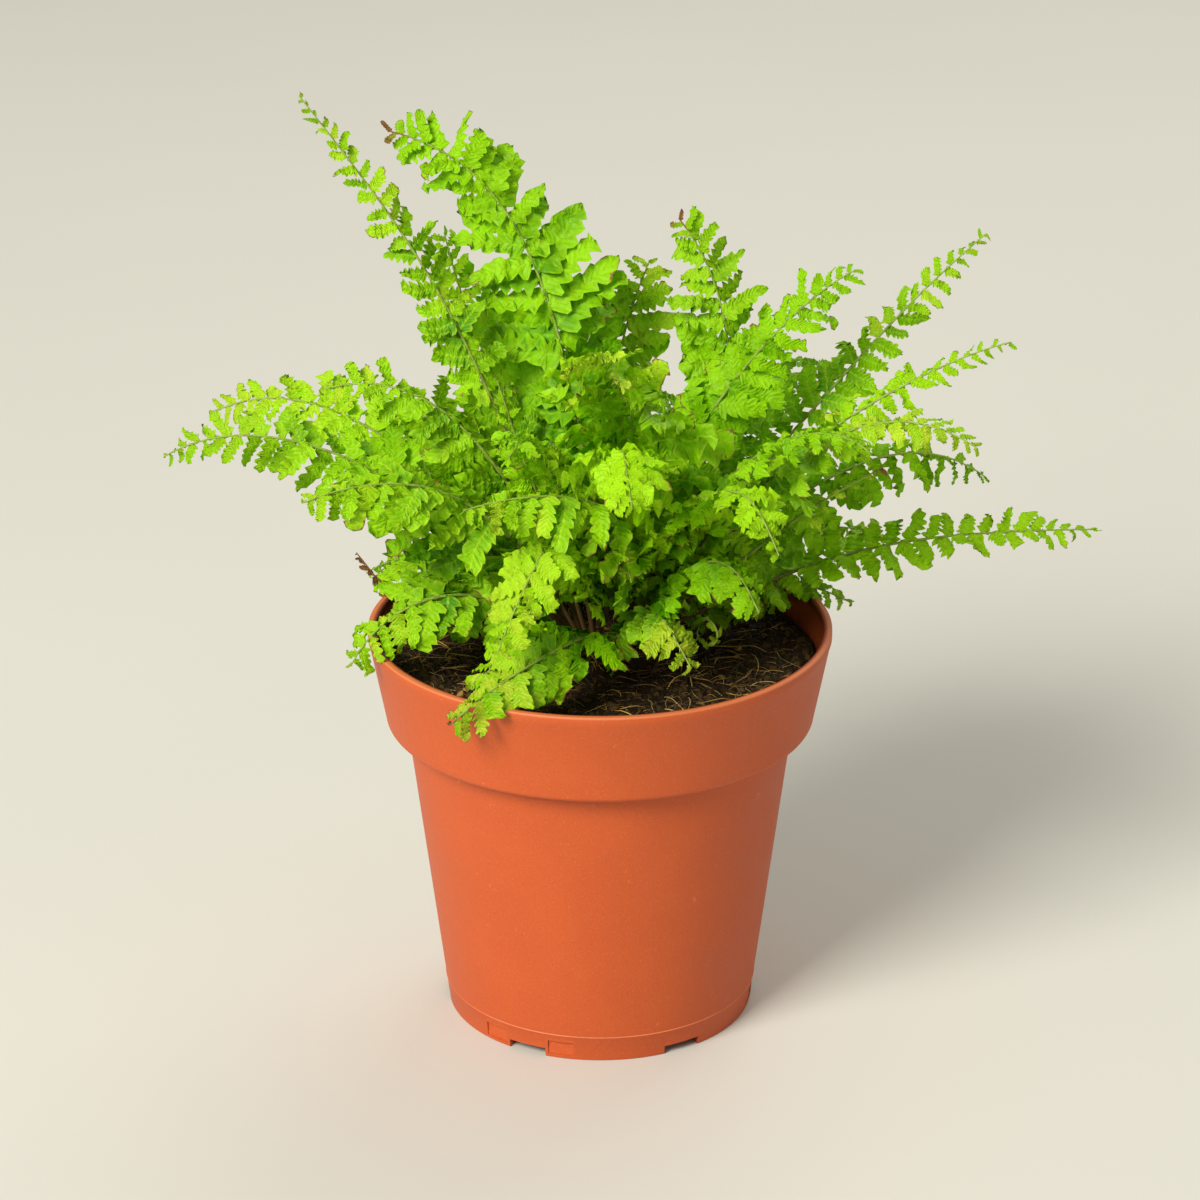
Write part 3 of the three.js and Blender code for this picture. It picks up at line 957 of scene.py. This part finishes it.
def litter_tree():
    """Covers the top of a bed with crumbs and curled fibres."""
    inputs = [("Seed", "NodeSocketInt"), ("Bed radius", "NodeSocketFloat")]
    for label in ("Crumb", "Fibre"):
        inputs += [
            (label + " shapes", "NodeSocketCollection"),
            (label + " density", "NodeSocketFloat"),
            (label + " smallest", "NodeSocketFloat"),
            (label + " largest", "NodeSocketFloat"),
            (label + " finish", "NodeSocketMaterial"),
        ]
    graph, source = new_geometry("litter", inputs)
    size = lambda label: (source.other(label + " smallest"), source.other(label + " largest"))
    crumbs = scatter(graph, source, "Crumb", 11, *size("Crumb"), 1.0)
    fibres = scatter(graph, source, "Fibre", 31, *size("Fibre"), 0.35)
    bed = graph.node("GeometryNodeSetMaterial", None, {0: source, 2: source.other("Crumb finish")})
    whole = graph.node("GeometryNodeJoinGeometry", None, {0: [bed, crumbs, fibres]})
    graph.node("NodeGroupOutput", None, {0: whole})
    return graph.tree


def litter(bed, radius, seed, crumbs, fibres, materials):
    """Grows litter on a bed; crumbs and fibres are (per square metre, smallest, largest)."""
    crumb_shapes = template_collection("crumbs", [crumb_mesh(f"crumb_{i}", i) for i in range(4)])
    fibre_shapes = template_collection("fibres", [fibre_mesh(f"fibre_{i}", i) for i in range(6)])
    values = {"Seed": seed, "Bed radius": radius}
    kinds = (("Crumb", crumb_shapes, crumbs), ("Fibre", fibre_shapes, fibres))
    for (label, shapes, (density, smallest, largest)), material in zip(kinds, materials):
        values[label + " shapes"] = shapes
        values[label + " density"] = density
        values[label + " smallest"] = smallest
        values[label + " largest"] = largest
        values[label + " finish"] = material
    mesh = grow(bed, litter_tree(), values)
    remove_templates(crumb_shapes, fibre_shapes)
    return mesh


# ---------------------------------------------------------------- settings
def colour(name, description, value):
    return bpy.props.FloatVectorProperty(
        name=name, description=description, default=(*value, 1.0), subtype="COLOR_GAMMA",
        size=4, min=0, max=1,
    )


def length(name, description, value):
    return bpy.props.FloatProperty(
        name=name, description=description, default=value * MM, unit="LENGTH",
    )


def number(name, description, value, **more):
    return bpy.props.FloatProperty(name=name, description=description, default=value, **more)


def whole_number(name, description, value):
    return bpy.props.IntProperty(name=name, description=description, default=value, min=1)


class FernSizes(bpy.types.PropertyGroup):
    """The sizes that the frame's boxes don't give."""

    foot_radius: length("Foot radius", "Outside of the pot's foot", 40.3)
    wall: length("Wall", "Thickness of the pot's wall", 1.4)
    lip_thickness: length("Lip", "Thickness of the rolled lip", 2.2)
    band_height: length("Band height", "Height of the band under the lip", 26)
    band_taper: length("Band taper", "How much narrower the band is at its lower edge", 4.3)
    shoulder_step: length("Shoulder", "Step from the band in to the body", 5.4)
    skirt_height: length("Skirt height", "Height of the foot skirt", 7)
    skirt_taper: length("Skirt taper", "How much wider the skirt is at its top", 0.8)
    hole_radius: length("Hole radius", "Drainage holes in the floor", 4)
    hole_ring: length("Hole ring", "From the pot's axis to its drainage holes", 24)
    hole_count: whole_number("Holes", "Drainage holes in the floor", 6)
    notch_height: length("Notch height", "Drainage notches in the skirt", 2.4)
    notch_width: length("Notch width", "Drainage notches in the skirt", 10.5)
    notch_heading: number("Notch heading", "The first notch, in degrees round from +X", 242)
    notch_count: whole_number("Notches", "Drainage notches in the skirt", 6)
    niche_height: length("Niche height", "Recesses beside a notch", 4)
    niche_width: length("Niche width", "Recesses beside a notch", 7)
    niche_depth: length("Niche depth", "Recesses beside a notch", 0.6)
    niche_lift: length("Niche lift", "From the table up to a niche", 1)
    niche_offset: number("Niche offset", "Degrees from its notch", 13.5)
    leaflet_spacing: length("Leaflet spacing", "Between leaflets on one side of a rachis", 4.6)
    stalk_radius: length("Stalk radius", "A frond's stalk at its foot", 0.65)
    ruffle: length("Ruffle", "How far a leaflet's end waves", 6)


class FernColours(bpy.types.PropertyGroup):
    """The colours of the pot, the peat and the plant."""

    plastic_warm: colour("Plastic", "Terracotta-coloured plastic", (0.55, 0.088, 0.013))
    plastic_deep: colour("Plastic, deeper", "Mottling in the plastic", (0.525, 0.081, 0.011))
    # Also used for the painted highlight along the top of the lip.
    plastic_pale: colour("Plastic, pale", "Pale specks and scuffs", (0.78, 0.26, 0.1))
    plastic_dark: colour("Plastic, dark", "Dark specks", (0.36, 0.06, 0.02))
    # Painted shade: the darker colour for the inside of the wall.
    plastic_shade: colour("Plastic, inside", "The stained inside of the lip", (0.24, 0.03, 0.01))
    # Partly painted shade: the older leaves' own deeper green, darkened further for the shade at
    # the heart of the plant.
    leaf_deep: colour("Leaf, deep", "Leaves near the heart", (0.065, 0.285, 0.001))
    leaf_fresh: colour("Leaf, fresh", "Grown leaves in the light", (0.42, 0.78, 0.003))
    leaf_young: colour("Leaf, young", "The youngest fronds", (0.5, 0.82, 0.006))
    # Partly painted highlight: pale young tips and edges, also standing in for the yellow-lime
    # highlights on the leaves.
    leaf_pale: colour("Leaf, pale", "Young tips and edges", (0.68, 0.88, 0.03))
    leaf_yellow: colour("Leaf, yellowing", "Ageing leaves", (0.72, 0.74, 0.05))
    leaf_glow: colour("Leaf, lit through", "Light through a leaf", (0.55, 0.95, 0.003))
    leaf_brown: colour("Leaf, dried", "Dried edges and spots", (0.25, 0.11, 0.03))
    stem_green: colour("Stalk", "The rachis", (0.26, 0.38, 0.04))
    stem_foot: colour("Stalk foot", "The scaly foot of a stalk", (0.14, 0.07, 0.02))
    peat_dark: colour("Peat, dark", "Damp peat", (0.023, 0.0125, 0.0035))
    peat_brown: colour("Peat, brown", "Drier crumbs", (0.085, 0.045, 0.012))
    peat_gold: colour("Peat, golden", "Bits of bark and seed", (0.36, 0.2, 0.05))
    fibre_tan: colour("Fibre, tan", "Dry fibres", (0.62, 0.36, 0.08))
    fibre_dark: colour("Fibre, dark", "Damp fibres", (0.05, 0.028, 0.014))


class StageSettings(bpy.types.PropertyGroup):
    """The camera, the floor and the light."""

    distance: length("Distance", "Camera in front of the pot's axis", 985)
    height: length("Height", "Camera above the table", 520)
    tilt: number("Tilt", "Camera below level", math.radians(22.47), subtype="ANGLE")
    lens: number("Lens", "Focal length in millimetres", 124, min=1)
    floor: colour("Floor", "The plain floor", (0.64, 0.615, 0.52))
    sky: colour("Fill", "Soft light from all round", (0.98, 0.98, 0.96))
    sky_strength: number("Fill strength", "Soft light from all round", 0.4)
    key_power: number("Key", "Main light in watts", 118, unit="POWER")
    rim_power: number("Back", "Light from behind in watts", 8, unit="POWER")


class Looks:
    """Sizes and colours under one name, with colours as plain tuples."""

    def __init__(self, context):
        for group in (context.scene.fern_sizes, context.scene.fern_colours):
            for key in type(group).__annotations__:
                value = getattr(group, key)
                setattr(self, key, value if isinstance(value, (int, float)) else tuple(value))


# ---------------------------------------------------------------- operators
class FERN_OT_pot(bpy.types.Operator):
    """Make the nursery pot"""

    bl_idname = "fern.pot"
    bl_label = "Pot"

    def execute(self, context):
        sizes = context.scene.fern_sizes
        pot = new_object("pot_blank", spin("pot_blank", pot_profile(sizes), POT_SIDES))
        holder = bpy.data.collections.new("cutters")
        for index, shape in enumerate(pot_cutters(sizes)):
            mesh = bpy.data.meshes.new(f"cutter_{index}")
            shape.to_mesh(mesh)
            shape.free()
            holder.objects.link(bpy.data.objects.new(mesh.name, mesh))
        cut = pot.modifiers.new("cut", "BOOLEAN")
        cut.operation = "DIFFERENCE"
        cut.solver = "EXACT"
        cut.operand_type = "COLLECTION"
        cut.collection = holder
        mesh = baked(pot)
        remove_templates(holder)
        mesh.shade_smooth()
        mesh.set_sharp_from_angle(angle=math.radians(32))
        mesh.materials.clear()
        mesh.materials.append(plastic_material(Looks(context)))
        finish_piece("pot_moulded", mesh, ["pot"], "terracotta_plastic")
        return {"FINISHED"}


class FERN_OT_peat(bpy.types.Operator):
    """Make the peat with its crumbs and fibres"""

    bl_idname = "fern.peat"
    bl_label = "Peat"

    def execute(self, context):
        look = Looks(context)
        low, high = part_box("soil")
        top = (high[0] - low[0]) / 2
        clear = 0.5 * MM
        foot = look.foot_radius - look.wall - 2 * clear
        profile = [(0, low[2]), (foot, low[2])]
        shoulder = POT_HEIGHT - look.band_height
        body_top = RIM_RADIUS - look.band_taper - look.shoulder_step - look.wall - 2 * clear
        profile += [(body_top, shoulder), (body_top + look.shoulder_step, shoulder + 6 * MM)]
        rings = 48
        for i in range(rings):
            profile.append((top * (1 - i / rings), SOIL_TOP))
        profile.append((0, SOIL_TOP))
        mesh = spin("peat_bed", profile, 150)
        for vertex in mesh.vertices:
            if vertex.co.z < SOIL_TOP - 1 * MM:
                continue
            spot = vertex.co - AXIS
            swell = noise.noise(spot * 55) * 1.6 + noise.noise(spot * 160) * 1.1
            swell += noise.noise(spot * 420) * 0.7
            near = min(1, max(0.15, (math.hypot(spot.x, spot.y) - CROWN_RADIUS) / (8 * MM)))
            vertex.co.z += (swell - 1.0) * MM * near
        fix_normals(mesh)
        bed = new_object("peat_bed", mesh)
        materials = (peat_material(look), fibre_material(look))
        crumbs = (3.0e5, 0.3 * MM, 1.5 * MM)
        fibres = (3.0e5, 2.2 * MM, 12 * MM)
        mesh = litter(bed, top - 0.4 * MM, 3, crumbs, fibres, materials)
        finish_piece("peat_crumbled", mesh, ["soil"], "peat")
        return {"FINISHED"}


class FERN_OT_crown(bpy.types.Operator):
    """Make the scaly crown that the fronds grow from"""

    bl_idname = "fern.crown"
    bl_label = "Crown"

    def execute(self, context):
        look = Looks(context)
        base = CROWN_LOW[2]
        profile = [(0, base), (CROWN_RADIUS * 0.96, base)]
        rings = 18
        for i in range(rings + 1):
            turn = math.pi / 2 * i / rings
            height = CROWN_HEIGHT * math.sin(turn) + 0.1 * MM
            profile.append((CROWN_RADIUS * 0.97 * math.cos(turn), base + height))
        profile[-1] = (0, profile[-1][1])
        mesh = spin("crown_bed", profile, 72)
        for vertex in mesh.vertices:
            if vertex.co.z > base + 0.05 * MM:
                spot = vertex.co - AXIS
                knob = noise.noise(spot * 260) * 1.3 + noise.noise(spot * 700) * 0.5
                vertex.co.z += (knob - 0.4) * MM
        fix_normals(mesh)
        bed = new_object("crown_bed", mesh)
        materials = (peat_material(look), fibre_material(look))
        crumbs = (4.0e5, 0.4 * MM, 1.5 * MM)
        fibres = (9.0e5, 3 * MM, 8 * MM)
        mesh = litter(bed, CROWN_RADIUS + 4 * MM, 8, crumbs, fibres, materials)
        finish_piece("crown_tuft", mesh, ["crown"], "rhizome")
        return {"FINISHED"}


class FERN_OT_fronds(bpy.types.Operator):
    """Grow all the fronds"""

    bl_idname = "fern.fronds"
    bl_label = "Fronds"

    def execute(self, context):
        look = Looks(context)
        tree = frond_tree()
        shapes = leaflet_shapes(0)
        stalk = stem_material(look)
        lime = leaf_material("leaf_lime", look, look.leaf_deep, look.leaf_fresh, look.leaf_pale)
        green = leaf_material("leaf_green", look, look.leaf_deep, look.leaf_fresh, look.leaf_fresh)
        pale = leaf_material("leaf_pale", look, look.leaf_fresh, look.leaf_young, look.leaf_young)
        finishes = (lime, green, pale)
        seed = 0
        for group, rows in FRONDS.items():
            for index, (knee, tip, width, roll) in enumerate(rows):
                seed += 1
                label = f"{group}_{index + 1}"
                line = rachis_line("line_" + label, knee, tip, roll, seed)
                dry, dry_tip, yellow = AGEING.get((group, index + 1), (0, 0, 0))
                spread, late, hang = HABIT.get((group, index + 1), USUAL_HABIT)
                spacing = look.leaflet_spacing * (1.0 + dry)
                leafy = line_length(line) * (1 - BARE_SHARE)
                values = {
                    "Leaflets": shapes,
                    "Leaflets per side": max(7, round(leafy / spacing)),
                    "Half width": width / 2 * MM * spread,
                    "Lateness": late,
                    "Bare share": BARE_SHARE,
                    "Hang": hang,
                    "Ruffle": look.ruffle,
                    "Stalk radius": look.stalk_radius,
                    "Dryness": dry,
                    "Tip dryness": dry_tip,
                    "Yellowing": yellow,
                    "Seed": seed,
                    "Leaf finish": finishes[index % 3],
                    "Stalk finish": stalk,
                }
                mesh = grow(line, tree, values)
                finish_piece("leaf_" + label, mesh, ["frond_" + label], SLOTS[index % 3])
        remove_templates(shapes)
        return {"FINISHED"}


class FERN_OT_shoots(bpy.types.Operator):
    """Make the young crozier and the dry wiry stalk"""

    bl_idname = "fern.shoots"
    bl_label = "Shoots"

    def execute(self, context):
        look = Looks(context)
        tree = frond_tree()
        shapes = leaflet_shapes(20)
        stalk = stem_material(look)
        leaf = leaf_material("leaf_young", look, look.leaf_fresh, look.leaf_pale, look.leaf_pale)
        edge = CROWN_RADIUS / MM
        crozier = [place_round(318, edge + 2.5, -0.8), place_round(320, 24, 12)]
        steps = 9
        for i in range(steps + 1):
            swing = math.pi - 2.2 * math.pi * i / steps
            size = 4.6 * (1 - 0.45 * i / steps)
            reach, height = size * math.cos(swing), size * math.sin(swing)
            crozier.append(place_round(322, 34 + reach, 15 + height))
        dry = [place_round(178, edge + 3, -0.8), place_round(177, 40, 8)]
        dry += [place_round(176, 54, 16), place_round(176, 63, 27)]
        shoots = (
            ("young_crozier", "crozier", crozier, 7, 2.0, 0.0, "frond_pale"),
            ("wiry_dry_stalk", "dry_stalk", dry, 8, 3.2, 1.0, "dry_stem"),
        )
        for seed, (name, node, points, pairs, half, dryness, slot) in enumerate(shoots, 90):
            values = {
                "Leaflets": shapes,
                "Leaflets per side": pairs,
                "Half width": half * MM,
                "Lateness": 1.5,
                "Bare share": 0.4,
                "Hang": 0.5,
                "Ruffle": look.ruffle * 0.6,
                "Stalk radius": 0.55 * MM,
                "Dryness": dryness,
                "Tip dryness": 0.0,
                "Yellowing": 0.0,
                "Seed": seed,
                "Leaf finish": leaf,
                "Stalk finish": stalk,
            }
            mesh = grow(smooth_line("line_" + node, points), tree, values)
            finish_piece(name, mesh, [node], slot)
        remove_templates(shapes)
        return {"FINISHED"}


class FERN_OT_stage(bpy.types.Operator):
    """Set up the floor, the light and the camera"""

    bl_idname = "fern.stage"
    bl_label = "Stage"

    def execute(self, context):
        stage = context.scene.fern_stage
        mesh = bpy.data.meshes.new("floor")
        half = 8.0
        corners = [(-half, -half, 0), (half, -half, 0), (half, half, 0), (-half, half, 0)]
        mesh.from_pydata(corners, [], [(0, 1, 2, 3)])
        material, graph, shader = new_material("floor", Roughness=0.7)
        grain = graph.noise(6.0, 2.0, object_place(graph))
        dim = tuple(c * 0.96 for c in stage.floor[:3]) + (1.0,)
        graph.feed(shader.inputs["Base Color"], graph.mix(grain, tuple(stage.floor), dim))
        mesh.materials.append(material)
        new_object("floor", mesh)
        self.light("key", (-1.55, -1.9, 2.0), 1.3, stage.key_power)
        self.light("back", (0.5, 1.0, 1.3), 1.0, stage.rim_power)
        context.scene.view_settings.view_transform = "Standard"
        world = bpy.data.worlds.new("studio")
        world.use_nodes = True
        world.node_tree.nodes["Background"].inputs["Color"].default_value = tuple(stage.sky)
        world.node_tree.nodes["Background"].inputs["Strength"].default_value = stage.sky_strength
        context.scene.world = world
        camera_data = bpy.data.cameras.new("camera")
        camera_data.lens = stage.lens
        camera_data.sensor_width = 36
        camera = new_object("camera", camera_data)
        camera.location = (AXIS.x, AXIS.y - stage.distance, stage.height)
        camera.rotation_euler = (math.pi / 2 - stage.tilt, 0, 0)
        context.scene.camera = camera
        return {"FINISHED"}

    @staticmethod
    def light(name, spot, size, power):
        data = bpy.data.lights.new(name, "AREA")
        data.size = size
        data.energy = power
        lamp = new_object(name, data)
        lamp.location = spot
        aim = Vector((0, 0, 0.12)) - Vector(spot)
        lamp.rotation_euler = aim.to_track_quat("-Z", "Y").to_euler()


class FERN_PT_panel(bpy.types.Panel):
    """The fern's pieces, sizes and colours"""

    bl_idname = "FERN_PT_panel"
    bl_label = "Potted fern"
    bl_space_type = "VIEW_3D"
    bl_region_type = "UI"
    bl_category = "Fern"

    def draw(self, context):
        for operator in OPERATORS:
            self.layout.operator(operator.bl_idname)
        scene = context.scene
        for group in (scene.fern_sizes, scene.fern_colours, scene.fern_stage):
            box = self.layout.box()
            for key in type(group).__annotations__:
                box.prop(group, key)


OPERATORS = (
    FERN_OT_pot, FERN_OT_peat, FERN_OT_crown, FERN_OT_fronds, FERN_OT_shoots, FERN_OT_stage,
)
CLASSES = (FernSizes, FernColours, StageSettings, *OPERATORS, FERN_PT_panel)


def register():
    for item in CLASSES:
        bpy.utils.register_class(item)
    bpy.types.Scene.fern_sizes = bpy.props.PointerProperty(type=FernSizes)
    bpy.types.Scene.fern_colours = bpy.props.PointerProperty(type=FernColours)
    bpy.types.Scene.fern_stage = bpy.props.PointerProperty(type=StageSettings)


def unregister():
    del bpy.types.Scene.fern_stage
    del bpy.types.Scene.fern_colours
    del bpy.types.Scene.fern_sizes
    for item in reversed(CLASSES):
        bpy.utils.unregister_class(item)


def main():
    register()
    bpy.ops.fern.stage()
    bpy.ops.fern.pot()
    bpy.ops.fern.peat()
    bpy.ops.fern.crown()
    bpy.ops.fern.fronds()
    bpy.ops.fern.shoots()


if __name__ == "__main__":
    main()
